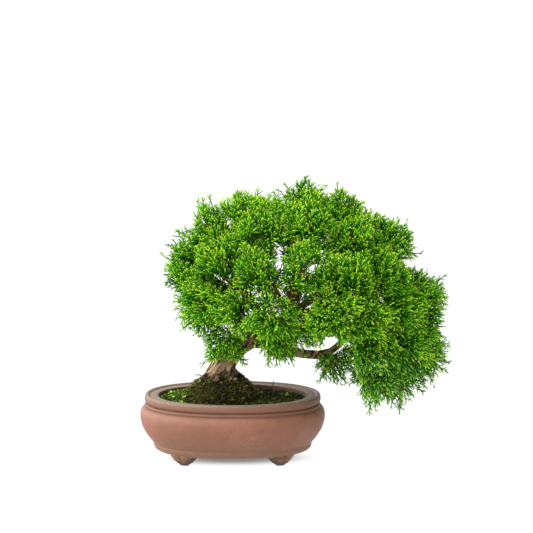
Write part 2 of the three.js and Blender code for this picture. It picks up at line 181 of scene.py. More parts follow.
def newMaterial(name, roughness, specular):
    material = bpy.data.materials.new(name)
    material.use_nodes = True
    shader = material.node_tree.nodes["Principled BSDF"]
    shader.inputs["Roughness"].default_value = roughness
    shader.inputs["Specular IOR Level"].default_value = specular
    return material, partial(addNode, material.node_tree), shader


def coated(material, colour, height=None, strength=0, distance=0):  # with this colour, and a bump
    tree = material.node_tree
    inputs = tree.nodes["Principled BSDF"].inputs
    tree.links.new(colour, inputs["Base Color"])
    if height:
        bump = {"Height": height, "Strength": strength, "Distance": distance}
        tree.links.new(addNode(tree, "ShaderNodeBump", bump), inputs["Normal"])
    return material


def overlaid(add, colour, layers):  # lays each layer's tint over, as its value goes from low to high
    for value, low, high, share, tint in layers:
        mask = add("ShaderNodeMapRange", [value, low, high, 0, share])
        colour = add("ShaderNodeMix", {0: mask, 6: colour, 7: linear(tint)}, 2, data_type="RGBA")
    return colour


# The pot

pot = {
    "halfLength": 100, "halfWidth": 78, "power": 2.2, "segments": 176, "steps": 4,
    # how far in from the belly, and the height, from the middle of the underside to the rim
    "outside": [
        (30, 10), (23, 10.2), (18.6, 11.3), (15.6, 13.4), (14.5, 16), (14.4, 18), (14, 19.2), (12.2, 21.4),
        (9.6, 24.6), (5.7, 30.2), (2.5, 36.4), (0.5, 43.2), (0, 49), (0.7, 53), (2.3, 56), (4.1, 57.4),
        (5.3, 58), (5.2, 58.8), (4.9, 60), (5.5, 61.2), (6.9, 61.8), (7.2, 62.2), (6.3, 62.9), (5.2, 63.9),
        (4.8, 66), (5, 68.8), (6, 70.5), (7.6, 71), (9.2, 70.6), (10.1, 69.7), (10.6, 69.3), (11.3, 69.7),
    ],
    "inside": [
        (14, 69.8), (18.6, 69.7), (20, 68.9), (20.1, 66), (19.6, 64.4), (9.5, 54), (11, 38), (22, 23),
        (32, 15.5),
    ],
    "drainX": 36, "drainRadius": 7, "drainSides": 48, "floorZ": 15.5,
}
foot = {
    "x": 51.5, "y": 38, "turn": 0.58, "halfLength": 17, "halfDepth": 12, "top": 13.5,
    "sides": 96, "rings": 22, "crowding": 1.4,  # the rings lie closer together near the sole
    "sole": 0.31, "full": 11,  # the sole's share of the full width, and how high up that is reached
    "groove": 0.2, "grooveEdge": 0.45, "fineGroove": 0.07, "fineEdge": 0.6,
}


def oval(inset, z, segments, share=1.0, centreX=0.0):
    points = []
    for k in range(segments):
        angle = 2 * math.pi * k / segments
        c, s = math.cos(angle), math.sin(angle)
        bend = 2 / pot["power"]
        x = centreX + share * (pot["halfLength"] - inset) * math.copysign(abs(c) ** bend, c)
        y = share * (pot["halfWidth"] - inset) * math.copysign(abs(s) ** bend, s)
        points.append(onPot(x, y, z))
    return points


def footShape(sideX, sideY):  # a cloud foot: four lobes, carved between them and drawn in to a small sole
    turn = -sideX * sideY * foot["turn"]
    rings = []
    for r in range(foot["rings"] + 1):
        z = foot["top"] * (r / foot["rings"]) ** foot["crowding"]
        swell = max(foot["sole"], 0.08 + 0.92 * math.sqrt(min(z / foot["full"], 1)))
        carved = min(2 * z / foot["full"], 1)
        ring = []
        for k in range(foot["sides"]):
            angle = 2 * math.pi * k / foot["sides"]
            lobe = 1 - carved * foot["groove"] * (1 - abs(math.sin(2 * angle)) ** foot["grooveEdge"])
            lobe -= carved * foot["fineGroove"] * (1 - abs(math.sin(4 * angle)) ** foot["fineEdge"])
            along = foot["halfLength"] * swell * lobe * math.cos(angle)
            across = foot["halfDepth"] * swell * lobe * math.sin(angle)
            ring.append(onPot(
                sideX * foot["x"] + along * math.cos(turn) - across * math.sin(turn),
                sideY * foot["y"] + along * math.sin(turn) + across * math.cos(turn),
                z,
            ))
        rings.append(ring)
    return loft("foot", rings)


def drainPlug(side):  # from below the feet to above the pot's floor
    radius = pot["drainRadius"]
    angles = [2 * math.pi * k / pot["drainSides"] for k in range(pot["drainSides"])]
    rings = []
    for z in (-4, 2 * pot["floorZ"]):
        rings.append([
            onPot(side * pot["drainX"] + radius * math.cos(a), radius * math.sin(a), z) for a in angles
        ])
    return loft("plug", rings)


def carve(obj, others, operation):
    for other in others:
        modify(obj, "BOOLEAN", operation=operation, solver="MANIFOLD", object=other)
    done = finishedCopy(obj, "potClay")
    for other in others:
        bpy.data.objects.remove(other)
    return done


def makePot():
    profile = np.vstack([smoothPath(pot[side], pot["steps"]) for side in ("outside", "inside")])
    body = loft("potBody", [oval(inset, z, pot["segments"]) for inset, z in profile])
    body = carve(body, [footShape(x, y) for x in (-1, 1) for y in (-1, 1)], "UNION")
    return carve(body, [drainPlug(-1), drainPlug(1)], "DIFFERENCE")


def clayMaterial():  # stoneware, pressed and fired unglazed: matte, mottled, with painted shade in its creases, inside the rim and under the pot
    material, add, _ = newMaterial("unglazedStoneware", 0.58, 0.45)
    where = add("ShaderNodeTexCoord", out="Object")
    up = add("ShaderNodeSeparateXYZ", [where], "Z")
    # kiln clouds of 42 mm, blotches of 8 mm, and grog of 1.7 and 1.1 mm
    cloud = add("ShaderNodeTexNoise", {"Vector": where, "Scale": 24, "Detail": 4})
    blotch, grain, speck = (
        add("ShaderNodeTexNoise", {"Vector": where, "Scale": scale, "Detail": detail, "Roughness": rough})
        for scale, detail, rough in ((120, 4, 0.6), (600, 3, 0.7), (900, 3, 0.75))
    )
    body = add("ShaderNodeValToRGB", [cloud], stops={0.32: "#825742", 0.5: "#8b5943", 0.68: "#915e4a"})
    low = add("ShaderNodeMath", [cloud, -0.02, up], operation="MULTIPLY_ADD")
    body = overlaid(add, body, [
        (blotch, 0.45, 0.7, 0.4, "#6f4a39"),
        (grain, 0.4, 0.75, 0.35, "#68402f"),
        (low, 0.022, 0.003, 0.6, "#6f5a3e"),
        (up, 0.0105, 0.0092, 0.75, "#7d4c39"),
    ])

    # the rim's outer face and the two bands are darker; inside the rim above the soil, under the pot and in
    # the grooves and creases the clay is darkened with painted shade
    normal = add("ShaderNodeNewGeometry", out="Normal")
    facing = add("ShaderNodeSeparateXYZ", [normal], "Z")
    # an oval that takes in the inside of the rim above the soil and the underside between the feet, for
    # painted shade
    shadeOval = add("ShaderNodeMapping", {
        "Vector": where, "Location": onPot(0, 0, 40), "Scale": (0.0815, 0.0595, 1),
    }, vector_type="TEXTURE")
    share = add("ShaderNodeVectorMath", [shadeOval], "Value", operation="LENGTH")
    band = add("ShaderNodeMapRange", [up, 0.0565, 0.058, 0, 0.5])
    below = add("ShaderNodeMapRange", [up, 0.0615, 0.0635, 1, 0])
    band = add("ShaderNodeMath", [band, below], operation="MULTIPLY")
    flat = add("ShaderNodeMapRange", [facing, 0.2, 0.7])
    top = add("ShaderNodeMapRange", [up, 0.0688, 0.0695, 0, 0.85])
    top = add("ShaderNodeMath", [top, flat], operation="MULTIPLY")
    grit = add("ShaderNodeValToRGB", [speck], stops={0.36: "#4a3c31", 0.5: "#7b685b", 0.64: "#97836f"})
    # painted shade in the grooves and creases, where the surface curves inward
    creaseShade = add("ShaderNodeNewGeometry", out="Pointiness")
    body = overlaid(add, body, [(up, 0.0625, 0.064, 0.42, "#5e4838"), (band, 0, 1, 1, "#5f4a36")])
    body = add("ShaderNodeMix", {0: top, 6: body, 7: grit}, 2, data_type="RGBA")
    # painted shade: darker in the creases, and inside the oval, within the rim and under the pot
    body = overlaid(add, body, [
        (creaseShade, 0.495, 0.44, 0.65, "#4a3120"), (share, 1.02, 0.99, 0.85, "#33241a"),
    ])

    # green algae over the front right foot, scratches beside it, and chips down to the paler clay
    marks = {}
    for name, spot, reach in (
        ("algae", (48, -50, 9.5), 20), ("scratched", (18, -70, 27), 17), ("chip1", (55, -52, 20), 1.7),
        ("chip2", (53, -56, 13.5), 1.5), ("chip3", (22, -64, 14), 1.3), ("chip4", (57, -56, 26), 1.2),
    ):
        away = add("ShaderNodeVectorMath", [where, onPot(*spot)], "Value", operation="DISTANCE")
        marks[name] = add("ShaderNodeMapRange", [away, reach * mm, 0])
    slant = add("ShaderNodeMapping", {
        "Vector": where, "Rotation": (0, -0.5, 0), "Scale": (14, 1, 0.8),
    }, vector_type="TEXTURE")
    line = add("ShaderNodeTexNoise", {"Vector": slant, "Scale": 900, "Detail": 1})
    line = add("ShaderNodeMapRange", [line, 0.62, 0.7])
    scratch = add("ShaderNodeMath", [marks["scratched"], line], operation="MULTIPLY")
    damp = add("ShaderNodeMapRange", [up, 0.0072, 0.0088])
    dry = add("ShaderNodeMapRange", [up, 0.0118, 0.0106])
    for more in (dry, marks["algae"], blotch):
        damp = add("ShaderNodeMath", [damp, more], operation="MULTIPLY")
    pale = "#ab9478"
    body = overlaid(add, body, [
        (damp, 0.12, 0.3, 0.8, "#3a400e"), (scratch, 0, 1, 0.8, pale), (speck, 0.73, 0.78, 0.35, pale),
    ] + [(mark, 0, 1, 0.9, pale) for name, mark in marks.items() if name.startswith("chip")])
    return coated(material, body, speck, 0.35, 0.0004)


potClay = makePot()
print("pot:", triangles(potClay), "triangles")
paint(potClay, clayMaterial())
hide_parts("pot")


# The soil

soil = {
    "inset": 20.5, "level": 66.5, "segments": 200, "rings": 62, "gap": 0.6, "wallTop": 65,
    "x": -8, "top": 87.5, "left": 51, "right": 40, "deep": 49, "flat": 0.48,  # a mound, steeper at its right
    "halfLength": 80, "halfWidth": 58, "sink": 1.5,  # at the wall the soil sinks a little
    "lump": 1.8, "lumpEvery": 9, "crumb": 1, "crumbEvery": 2.6,
}


def soilHeight(x, y):  # the same mound as the solid, with lumps and crumbs
    wide = soil["left"] if x < soil["x"] else soil["right"]
    away = math.hypot((x - soil["x"]) / wide, y / soil["deep"])
    t = min(max((away - soil["flat"]) / (1 - soil["flat"]), 0), 1)
    t = t * t * (3 - 2 * t)
    rim = min(math.hypot(x / soil["halfLength"], y / soil["halfWidth"]), 1) ** 6
    z = soil["top"] * (1 - t) + soil["level"] * t - soil["sink"] * rim
    spot = Vector((x, y, 0))
    z += soil["lump"] * noise.noise(spot / soil["lumpEvery"])
    z += soil["crumb"] * noise.noise(spot / soil["crumbEvery"] + Vector((7, 3, 1)))
    return z


def makeSoil():
    rings = []
    for inset, z in reversed(pot["inside"]):
        if z < soil["wallTop"]:
            lift = soil["gap"] if z == pot["floorZ"] else 0
            rings.append(oval(inset + soil["gap"], z + lift, soil["segments"]))
    for r in range(soil["rings"]):
        share = 1 - r / soil["rings"]
        ring = oval(soil["inset"], 0, soil["segments"], share, soil["x"] * (1 - share))
        for p in ring:
            x, y = (p - potMiddle).xy / mm
            p.z = potMiddle.z + soilHeight(x, y) * mm
        rings.append(ring)
    return loft("soilEarth", rings)


def earthMaterial():  # potting soil under moss: dark, fibrous, quite without gloss
    material, add, _ = newMaterial("mossyPottingSoil", 0.95, 0.05)
    where = add("ShaderNodeTexCoord", out="Object")
    # crumbs of 6 mm, fibres and grains of 1.4 mm, moss in patches of 18 mm
    coarse = add("ShaderNodeTexNoise", {"Vector": where, "Scale": 160, "Detail": 5, "Roughness": 0.65})
    body = add("ShaderNodeValToRGB", [coarse], stops={
        0.32: "#0d0a05", 0.5: "#1d170b", 0.66: "#33291a", 0.8: "#574627"})
    mossy = add("ShaderNodeTexNoise", {"Vector": where, "Scale": 55, "Detail": 4})
    body = overlaid(add, body, [(mossy, 0.46, 0.62, 0.6, "#2c310e")])
    rough = add("ShaderNodeTexNoise", {"Vector": where, "Scale": 700, "Detail": 5, "Roughness": 0.7})
    return coated(material, body, rough, 0.8, 0.0008)


soilEarth = makeSoil()
print("soil:", triangles(soilEarth), "triangles")
paint(soilEarth, earthMaterial())
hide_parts("soil")


# The wood

wood = {
    "voxel": 1.3 * mm, "smoothing": 5,
    # the bark's ridges run along the lean, and are as low as a twig's from the trunk's top upwards
    "trunkTop": 150 * mm, "fadeOver": 45 * mm, "lean": Vector((0.62, 0, 0.78)), "stretch": 5,
    "ridge": 1.1 * mm, "twigRidge": 0.22 * mm, "ridgeWidth": 5 * mm, "fineRidge": 0.4,
}


def makeWood():
    shape = mergedSolid("trunk_and_branches")
    mesh = bpy.data.meshes.new("wood")
    shape.to_mesh(mesh)
    shape.free()
    obj = inScene("wood", mesh)
    modify(obj, "REMESH", mode="VOXEL", voxel_size=wood["voxel"], adaptivity=0)
    modify(obj, "SMOOTH", factor=0.5, iterations=wood["smoothing"])
    done = finishedCopy(obj, "barkedWood")
    normals = [v.normal.copy() for v in done.data.vertices]
    for vertex, normal in zip(done.data.vertices, normals):
        place = vertex.co
        along = place.dot(wood["lean"])
        flat = place - wood["lean"] * along * (1 - 1 / wood["stretch"])
        thick = min(max((wood["trunkTop"] - place.z) / wood["fadeOver"], 0), 1)
        height = wood["twigRidge"] + (wood["ridge"] - wood["twigRidge"]) * thick
        wave = noise.noise(flat / wood["ridgeWidth"])
        wave += 0.5 * noise.noise(flat / (wood["fineRidge"] * wood["ridgeWidth"]))
        vertex.co = place + normal * height * wave
    return done


def barkMaterial():  # juniper bark: shreds in long strips, dark between them and tan on them, partly their own colour and partly painted shade and highlight, mossy at the foot
    material, add, _ = newMaterial("shreddingJuniperBark", 0.85, 0.2)
    where = add("ShaderNodeTexCoord", out="Object")
    strips = add("ShaderNodeMapping", {
        "Vector": where, "Rotation": (0, math.atan2(wood["lean"].x, wood["lean"].z), 0),
        "Scale": (1, 1, wood["stretch"]),
    }, vector_type="TEXTURE")
    # strips 4 mm wide and five times as long, and mossy patches of 11 mm
    strand = add("ShaderNodeTexNoise", {"Vector": strips, "Scale": 260, "Detail": 6, "Roughness": 0.65})
    # the strips' tones run from near-black to pale tan: partly the bark's own, partly painted shade between
    # the strips and painted highlight on them
    body = add("ShaderNodeValToRGB", [strand], stops={
        0.36: "#171206", 0.45: "#463820", 0.52: "#7f6a4a", 0.6: "#b2947a", 0.7: "#d6bba4",
    })
    up = add("ShaderNodeSeparateXYZ", [where], "Z")
    patch = add("ShaderNodeTexNoise", {"Vector": where, "Scale": 90, "Detail": 4})
    line = add("ShaderNodeMath", [patch, -0.06, up], operation="MULTIPLY_ADD")
    body = overlaid(add, body, [
        (line, 0.069, 0.058, 1, "#24210a"), (patch, 0.55, 0.7, 0.3, "#4d4a1a"),
        (up, 0.12, 0.16, 0.8, "#5b3323"),
    ])
    return coated(material, body, strand, 0.9, 0.0012)


barkedWood = makeWood()
print("wood:", triangles(barkedWood), "triangles")
paint(barkedWood, barkMaterial())
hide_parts("trunk_and_branches")


# Small shapes on points

tipAngles = (-0.524, 3.665, 1.571)  # of a blunt tip's three corners, in radians
octahedron = [(0, 1, 4), (1, 2, 4), (2, 3, 4), (3, 0, 4), (1, 0, 5), (2, 1, 5), (3, 2, 5), (0, 3, 5)]


def wedge(start, end, base, tip):  # a closed shoot: a thin edge at its start, a three-sided blunt tip
    along = (end - start).normalized()
    across = along.cross(Vector((0.3, 0.9, 0.1))).normalized()
    third = along.cross(across)
    points = [start + base * across, start - base * across]
    points += [end + tip * (math.cos(a) * across + math.sin(a) * third) for a in tipAngles]
    return points, [(0, 1, 3, 2), (0, 2, 4), (1, 4, 3), (0, 4, 1), (2, 3, 4)]


def lens(start, end, half):  # a closed small leaf, thickest in its middle
    along = (end - start).normalized()
    across = along.cross(Vector((0.1, 0.2, 0.9))).normalized()
    up = across.cross(along)
    middle = start.lerp(end, 0.55)
    points = [start, middle + half * across, end, middle - half * across]
    points += [middle + 0.3 * half * up, middle - 0.3 * half * up]
    return points, octahedron


def joined(name, shapes, shades):  # several shapes as one mesh, with a shade from 0 to 1 for each point
    vertices, faces = [], []
    for points, sides in shapes:
        faces += [tuple(i + len(vertices) for i in side) for side in sides]
        vertices += points
    obj = meshObject(name, vertices, faces)
    obj.data.attributes.new("tipward", "FLOAT", "POINT").data.foreach_set("value", shades)
    scene.collection.objects.unlink(obj)
    return obj


def newTree(name, inputs):  # a Geometry Nodes tree with these inputs beside its geometry
    tree = bpy.data.node_groups.new(name, "GeometryNodeTree")
    for key, kind in {"Geometry": "Geometry", **inputs}.items():
        tree.interface.new_socket(key, in_out="INPUT", socket_type="NodeSocket" + kind)
    tree.interface.new_socket("Geometry", in_out="OUTPUT", socket_type="NodeSocketGeometry")
    return tree, partial(addNode, tree), tree.nodes.new("NodeGroupInput").outputs


def finishTree(add, shape, material):
    real = add("GeometryNodeRealizeInstances", {"Geometry": shape})
    painted = add("GeometryNodeSetMaterial", {"Geometry": real, "Material": material})
    add("NodeGroupOutput", [painted])


def sprigTree(material):  # sets a pattern on every point, turned to its aim
    tree, add, given = newTree("sprigsOnPoints", {"Patterns": "Collection", "Seed": "Int"})
    patterns = add("GeometryNodeCollectionInfo", {
        "Collection": given["Patterns"], "Separate Children": True, "Reset Children": True,
    })
    aim, size, kind = (
        add("GeometryNodeInputNamedAttribute", {"Name": name}, data_type=values)
        for name, values in (("aim", "FLOAT_VECTOR"), ("size", "FLOAT"), ("kind", "INT"))
    )
    turned = add("FunctionNodeAlignRotationToVector", {"Vector": aim}, axis="Z")
    spin = add("FunctionNodeRandomValue", {3: 2 * math.pi, "Seed": given["Seed"]}, 1, data_type="FLOAT")
    twist = add("FunctionNodeAxisAngleToRotation", {"Axis": (0, 0, 1), "Angle": spin})
    turned = add("FunctionNodeRotateRotation", [turned, twist], rotation_space="LOCAL")
    placed = add("GeometryNodeInstanceOnPoints", {
        "Points": given["Geometry"], "Instance": patterns, "Pick Instance": True,
        "Instance Index": kind, "Rotation": turned, "Scale": size,
    })
    finishTree(add, placed, material)
    return tree


def runTree(obj, tree, inputs):  # with this Geometry Nodes tree, and its inputs by name
    modifier = modify(obj, "NODES", node_group=tree)
    for name, value in inputs.items():
        modifier[tree.interface.items_tree[name].identifier] = value


def onPoints(name, tree, patterns, seed, roots, aims, sizes, kinds, freshAndShade):
    obj = meshObject("points", roots, [])
    for key, kind, values in (
        ("aim", "FLOAT_VECTOR", aims), ("size", "FLOAT", sizes),
        ("kind", "INT", kinds), ("freshAndShade", "FLOAT", freshAndShade),
    ):
        data = obj.data.attributes.new(key, kind, "POINT").data
        data.foreach_set("vector" if kind == "FLOAT_VECTOR" else "value", np.ravel(values))
    runTree(obj, tree, {"Patterns": patterns, "Seed": seed})
    return finishedCopy(obj, name)


def patternSet(name, objects):
    patterns = bpy.data.collections.new(name)
    scene.collection.children.link(patterns)
    for obj in objects:
        patterns.objects.link(obj)
    return patterns


def dropPatterns(patterns):
    for obj in list(patterns.objects):
        bpy.data.objects.remove(obj)
    bpy.data.collections.remove(patterns)


# Moss, seedlings and litter on the soil

ground = {
    "edge": (79, 57), "variants": 4, "sink": 0.4, "stray": 0.7, "slopeStep": 3,
    "trunkX": -11, "trunkRadius": 19, "moundFrom": 4,  # the mound starts this high above the flat soil
    "moss": {
        "count": 2100, "size": (0.6, 1.1), "rise": 0.35, "flow": 1.2, "slot": "soil", "seed": 5,
        "blades": 4, "radius": 0.36, "point": 0.08, "spread": 1.6, "height": 3,
    },
    "seedling": {
        "count": 130, "size": (3.0, 4.6), "rise": 1.0, "flow": 0.2, "slot": "foliage", "seed": 6,
        "leaves": 5, "turn": 2.4, "half": 0.26,  # each leaf turned by the golden angle from the last
    },
    "litter": {
        "count": 650, "size": (3, 6.5), "rise": 0, "flow": 1.1, "slot": "soil", "seed": 7,
        "radius": 0.05, "bend": 0.15,
        "more": [((45, 12, 66), (-0.05, 0, 1), 17), ((-31, -2, 89.5), (-1, 0, 0.16), 12)],  # dead twigs
    },
    "grit": {"count": 420, "size": (0.6, 1.3), "rise": 1.0, "flow": 0.0, "slot": "soil", "seed": 8},
}


def mossPattern(name, draw):  # one tuft of pointed blades, in millimetres
    moss = ground["moss"]
    shapes, shades = [], []
    for _ in range(moss["blades"]):
        low = Vector((draw.uniform(-1, 1), draw.uniform(-1, 1), 0)) * moss["spread"] / 2
        high = low * draw.uniform(1.2, 2) + Vector((0, 0, draw.uniform(0.6, 1) * moss["height"]))
        shapes.append(wedge(high, low, moss["point"], moss["radius"]))
        shades += [1] * 2 + [0.1] * 3
    return joined(name, shapes, shades)


def seedlingPattern(name, draw):  # a rosette of small round leaves on a short stem, one unit high
    shapes, shades = [wedge(Vector((0, 0, -0.3)), Vector((0, 0, 0.55)), 0.05, 0.06)], [0.2] * 5
    for k in range(ground["seedling"]["leaves"]):
        turn = k * ground["seedling"]["turn"] + draw.uniform(-0.3, 0.3)
        start = Vector((0, 0, 0.35 + 0.04 * k))
        way = Vector((math.cos(turn), math.sin(turn), draw.uniform(0.2, 0.8)))
        end = start + way * draw.uniform(0.45, 0.7)
        shapes.append(lens(start, end, ground["seedling"]["half"]))
        shades += [0.5, 0.8, 1, 0.8, 0.9, 0.4]
    return joined(name, shapes, shades)


def litterPattern(name, draw):  # a fallen leaf shoot or root fibre, bent once, one unit long
    radius, most = ground["litter"]["radius"], ground["litter"]["bend"]
    bend = Vector((draw.uniform(-most, most), draw.uniform(-most, most), 0.5))
    ends = ((Vector(), radius), (Vector((0, 0, 1)), radius / 2))
    return joined(name, [wedge(end, bend, width, radius) for end, width in ends], [draw.random()] * 10)


def gritPattern(name, draw):  # a grain of crushed clay
    corners = ((1, 0, 0), (0, 1, 0), (-1, 0, 0), (0, -1, 0), (0, 0, 0.8), (0, 0, -0.8))
    points = [Vector(corner) * draw.uniform(0.7, 1.1) for corner in corners]
    return joined(name, [(points, octahedron)], [draw.random()] * 6)


def onSoil(count, share, draw):  # points on the soil, kept with the chance that share gives
    length, width = ground["edge"]
    places = []
    while len(places) < count:
        x, y = draw.uniform(-length, length), draw.uniform(-width, width)
        if math.hypot(x / length, y / width) < 1 and draw.random() < share(x, y):
            places.append((x, y))
    return places


def downhill(x, y):  # the soil's slope as a step downwards, smoothed over its crumbs
    step = ground["slopeStep"]
    right = soilHeight(x - step, y) - soilHeight(x + step, y)
    back = soilHeight(x, y - step) - soilHeight(x, y + step)
    return Vector((right, back, 0)) / (2 * step)


def groundMaterial(name, stops, specular=0.1):  # matte plant matter, paler towards its tips
    material, add, _ = newMaterial(name, 0.8, specular)
    tipward, freshAndShade = (add("ShaderNodeAttribute", out="Fac", attribute_name=k) for k in ("tipward", "freshAndShade"))
    age = add("ShaderNodeMath", [tipward, 0.45, freshAndShade], operation="MULTIPLY_ADD")
    age = add("ShaderNodeMapRange", [age, 0, 1.45])
    return coated(material, add("ShaderNodeValToRGB", [age], stops=stops))


def cover(kind, makePattern, share, material):  # strews one kind of growth over the soil
    given = ground[kind]
    draw = random.Random(given["seed"])
    variants = range(ground["variants"])
    patterns = patternSet(kind + "Patterns", [makePattern("%s%d" % (kind, k), draw) for k in variants])
    places = onSoil(given["count"], share, draw)
    roots, aims = [], []
    for x, y in places:
        roots.append(onPot(x, y, soilHeight(x, y) - ground["sink"]))
        stray = Vector((draw.uniform(-1, 1), draw.uniform(-1, 1), draw.uniform(-0.2, 0.2)))
        aims.append(Vector((0, 0, given["rise"])) + given["flow"] * downhill(x, y) + ground["stray"] * stray)
    sizes = [draw.uniform(*given["size"]) * mm for _ in places]
    for root, aim, length in given.get("more", []):
        roots.append(onPot(*root))
        aims.append(Vector(aim))
        sizes.append(length * mm)
    freshAndShade = [draw.random() for _ in roots]
    kinds = [draw.randrange(len(variants)) for _ in roots]
    tree = sprigTree(material)
    done = onPoints(kind + "OnSoil", tree, patterns, given["seed"], roots, aims, sizes, kinds, freshAndShade)
    dropPatterns(patterns)
    print(kind + ":", triangles(done), "triangles")
    paint(done, material, smooth=False)


def onMound(x, y):  # none under the trunk, all on the mound, less on the flat soil
    if math.hypot(x - ground["trunkX"], y) < ground["trunkRadius"]:
        return 0
    return 1 if soilHeight(x, y) > soil["level"] + ground["moundFrom"] else 0.5 if x < 0 else 0.3


def leftSide(x, y):  # most at the pot's left end, few in its middle
    return 0.8 if x < -45 else 0.07 if x > 30 else 0.04


cover("moss", mossPattern, onMound, groundMaterial("cushionMoss", {
    0.0: "#11110a", 0.3: "#2c310e", 0.55: "#4f571b", 0.8: "#7c7c36", 1.0: "#a8a15a"}))
cover("seedling", seedlingPattern, leftSide, groundMaterial("seedlings", {
    0.0: "#1a2f06", 0.4: "#3a5c10", 0.7: "#648f20", 1.0: "#a2cf3e"}, 0.3))
cover("litter", litterPattern, onMound, groundMaterial("rootFibre", {
    0.0: "#241a0d", 0.4: "#57462a", 0.7: "#8a7748", 1.0: "#b8a878"}))
cover("grit", gritPattern, lambda x, y: 1.3 - onMound(x, y), groundMaterial("crushedClay", {
    0.0: "#17110a", 0.5: "#3a2a1c", 0.8: "#5c4632", 1.0: "#8a705a"}))


# The foliage

noise.seed_set(5)  # noise_vector shifts its three fields by the seed, and by the clock where none is set

sprig = {
    "lengths": (10 * mm, 14 * mm, 20 * mm, 28 * mm), "rods": (4, 6, 8, 11), "variants": 6,
    "base": 0.58 * mm, "tip": 0.66 * mm,  # radii of one rod of overlapping scale leaves
    "zigzag": 0.7,  # millimetres that the axis strays sideways
    "firstFork": 0.1, "forksOver": 0.62, "turn": 0.8,  # where the side rods start, and how they turn
    "lean": (0.55, 1.0), "longLean": 0.75,  # how far they fork, in radians, and the long sprigs' share of it
    "rod": (5 * mm, 9 * mm), "rodShare": 0.6, "rodSpread": (0.75, 1.1),  # how long they are
    "shade": (0.2, 0.5), "shadeSpread": 0.12,  # at the foot, and how much it gains towards the end
}
leaf = {
    "tries": 4200, "within": 1.3, "spacing": 4.5 * mm, "thinning": 0.33, "deepest": 17 * mm, "seed": 700,
    "looseFrom": 118 * mm, "looseOver": 40 * mm, "loose": 0.45,  # the lowest shoots hang farther apart
    # here the crown is open: x, height as seen from the front, reach and share
    "thin": [
        (62, 205, 44, 0.5), (40, 172, 40, 0.8), (10, 180, 24, 0.4), (44, 140, 26, 0.7),
        (100, 90, 34, 0.4), (-2, 226, 24, 0.7), (165, 75, 55, 0.5),
    ],
    # and here long shoots run side by side
    "strands": [(-12, 208, 55, 1.5), (170, 125, 85, 1.6), (40, 118, 45, 1.5), (150, 212, 36, 1.2)],
    # the crown's skin: how softly the sprays meet, and its bumps
    "blend": 5 * mm, "bump": 7 * mm, "bumpEvery": 22 * mm, "fineBump": 2 * mm, "fineEvery": 7 * mm,
    "shrink": 3.5 * mm,
    # stems, and how sprigs aim: with the growth, outward, and adrift, which is less in the strands
    "plumeSpacing": 9 * mm, "plumes": 36, "toTip": 0.8, "toSprig": 0.85, "farFrom": 0.5,
    "spine": 0.35, "below": 1 * mm, "bow": 0.22, "middle": 0.3, "fromWood": 0.35, "fromAxis": 0.7,
    "levelAt": 172 * mm, "liftOver": 75 * mm, "lift": (-0.5, 0.8),  # above levelAt they rise, else droop
    "best": 14 * mm, "drape": 15 * mm, "hurry": 0.4, "stray": 6.5, "along": 0.75, "outward": 0.5,
    "shallow": (1, 0.5, 1), "flat": (1, 0.6, 1), "drift": 0.9, "strandDrift": 0.5, "driftEvery": 14 * mm,
    "endSprig": (0.6, 1.1), "overhang": 9 * mm, "wander": 2.2 * mm, "wanderEvery": 22 * mm,
    # how bright the leaves are: brighter towards the top, partly new growth and partly painted light from
    # above, and darker on hanging shoots
    "topAt": 200 * mm, "topOver": 110 * mm, "top": 0.1, "hanging": 0.15, "spread": 0.15,
    "tone": 0.35, "toneEvery": 26 * mm,
    "stem": 0.7 * mm, "stemTip": 0.4 * mm, "stemSteps": 19, "stemEvery": 6, "limbEnd": 0.1,
    # where the crown is fuller (+) or clipped (-): x, height, reach and change
    "trims": [
        (-24, 286, 30, 9), (-62, 238, 20, 6), (-50, 266, 14, -7), (56, 303, 26, -6), (138, 297, 26, -4),
        (170, 280, 24, -4), (62, 312, 15, -6), (80, 318, 12, -3), (204, 232, 32, -5), (228, 205, 28, -7),
        (236, 144, 15, -8), (133, 60, 14, -9), (-40, 115, 18, -12), (200, 76, 34, -3), (112, 72, 26, -3),
        (96, 96, 16, -3), (-12, 84, 25, -60), (105, 127, 10, -60), (108, 241, 16, -4), (50, 238, 12, 2),
        (-18, 269, 14, -6), (169, 168, 18, -6), (22, 258, 16, 4), (50, 212, 7, -40), (84, 212, 10, -50),
        (41, 200, 6, -40), (6, 194, 6, -40), (59, 180, 5, -40), (7, 157, 9, -50), (-7, 142, 6, -40),
        (-18, 204, 24, -13), (126, 92, 16, 4), (124, 70, 10, -8),
    ],
    "sight": 0.17,  # what a millimetre towards the back adds to the height as seen
    # small tufts beside a spray's own form, by its number: the middle and the radius
    "tufts": {
        48: [((54, -34, 116), 14), ((80, -45, 139), 17), ((78, -34, 183), 12)],
        18: [((92, -60, 148), 14)], 29: [((124, -22, 121), 12)],
        0: [((20, -24, 256), 16), ((20, 24, 256), 16), ((45, -22, 265), 15), ((45, 22, 265), 15)],
        1: [((75, -26, 268), 16), ((75, 26, 268), 16)], 2: [((102, -23, 264), 15), ((102, 23, 264), 15)],
        7: [((-3, -28, 237), 14), ((-3, 28, 237), 14)],
    },
}


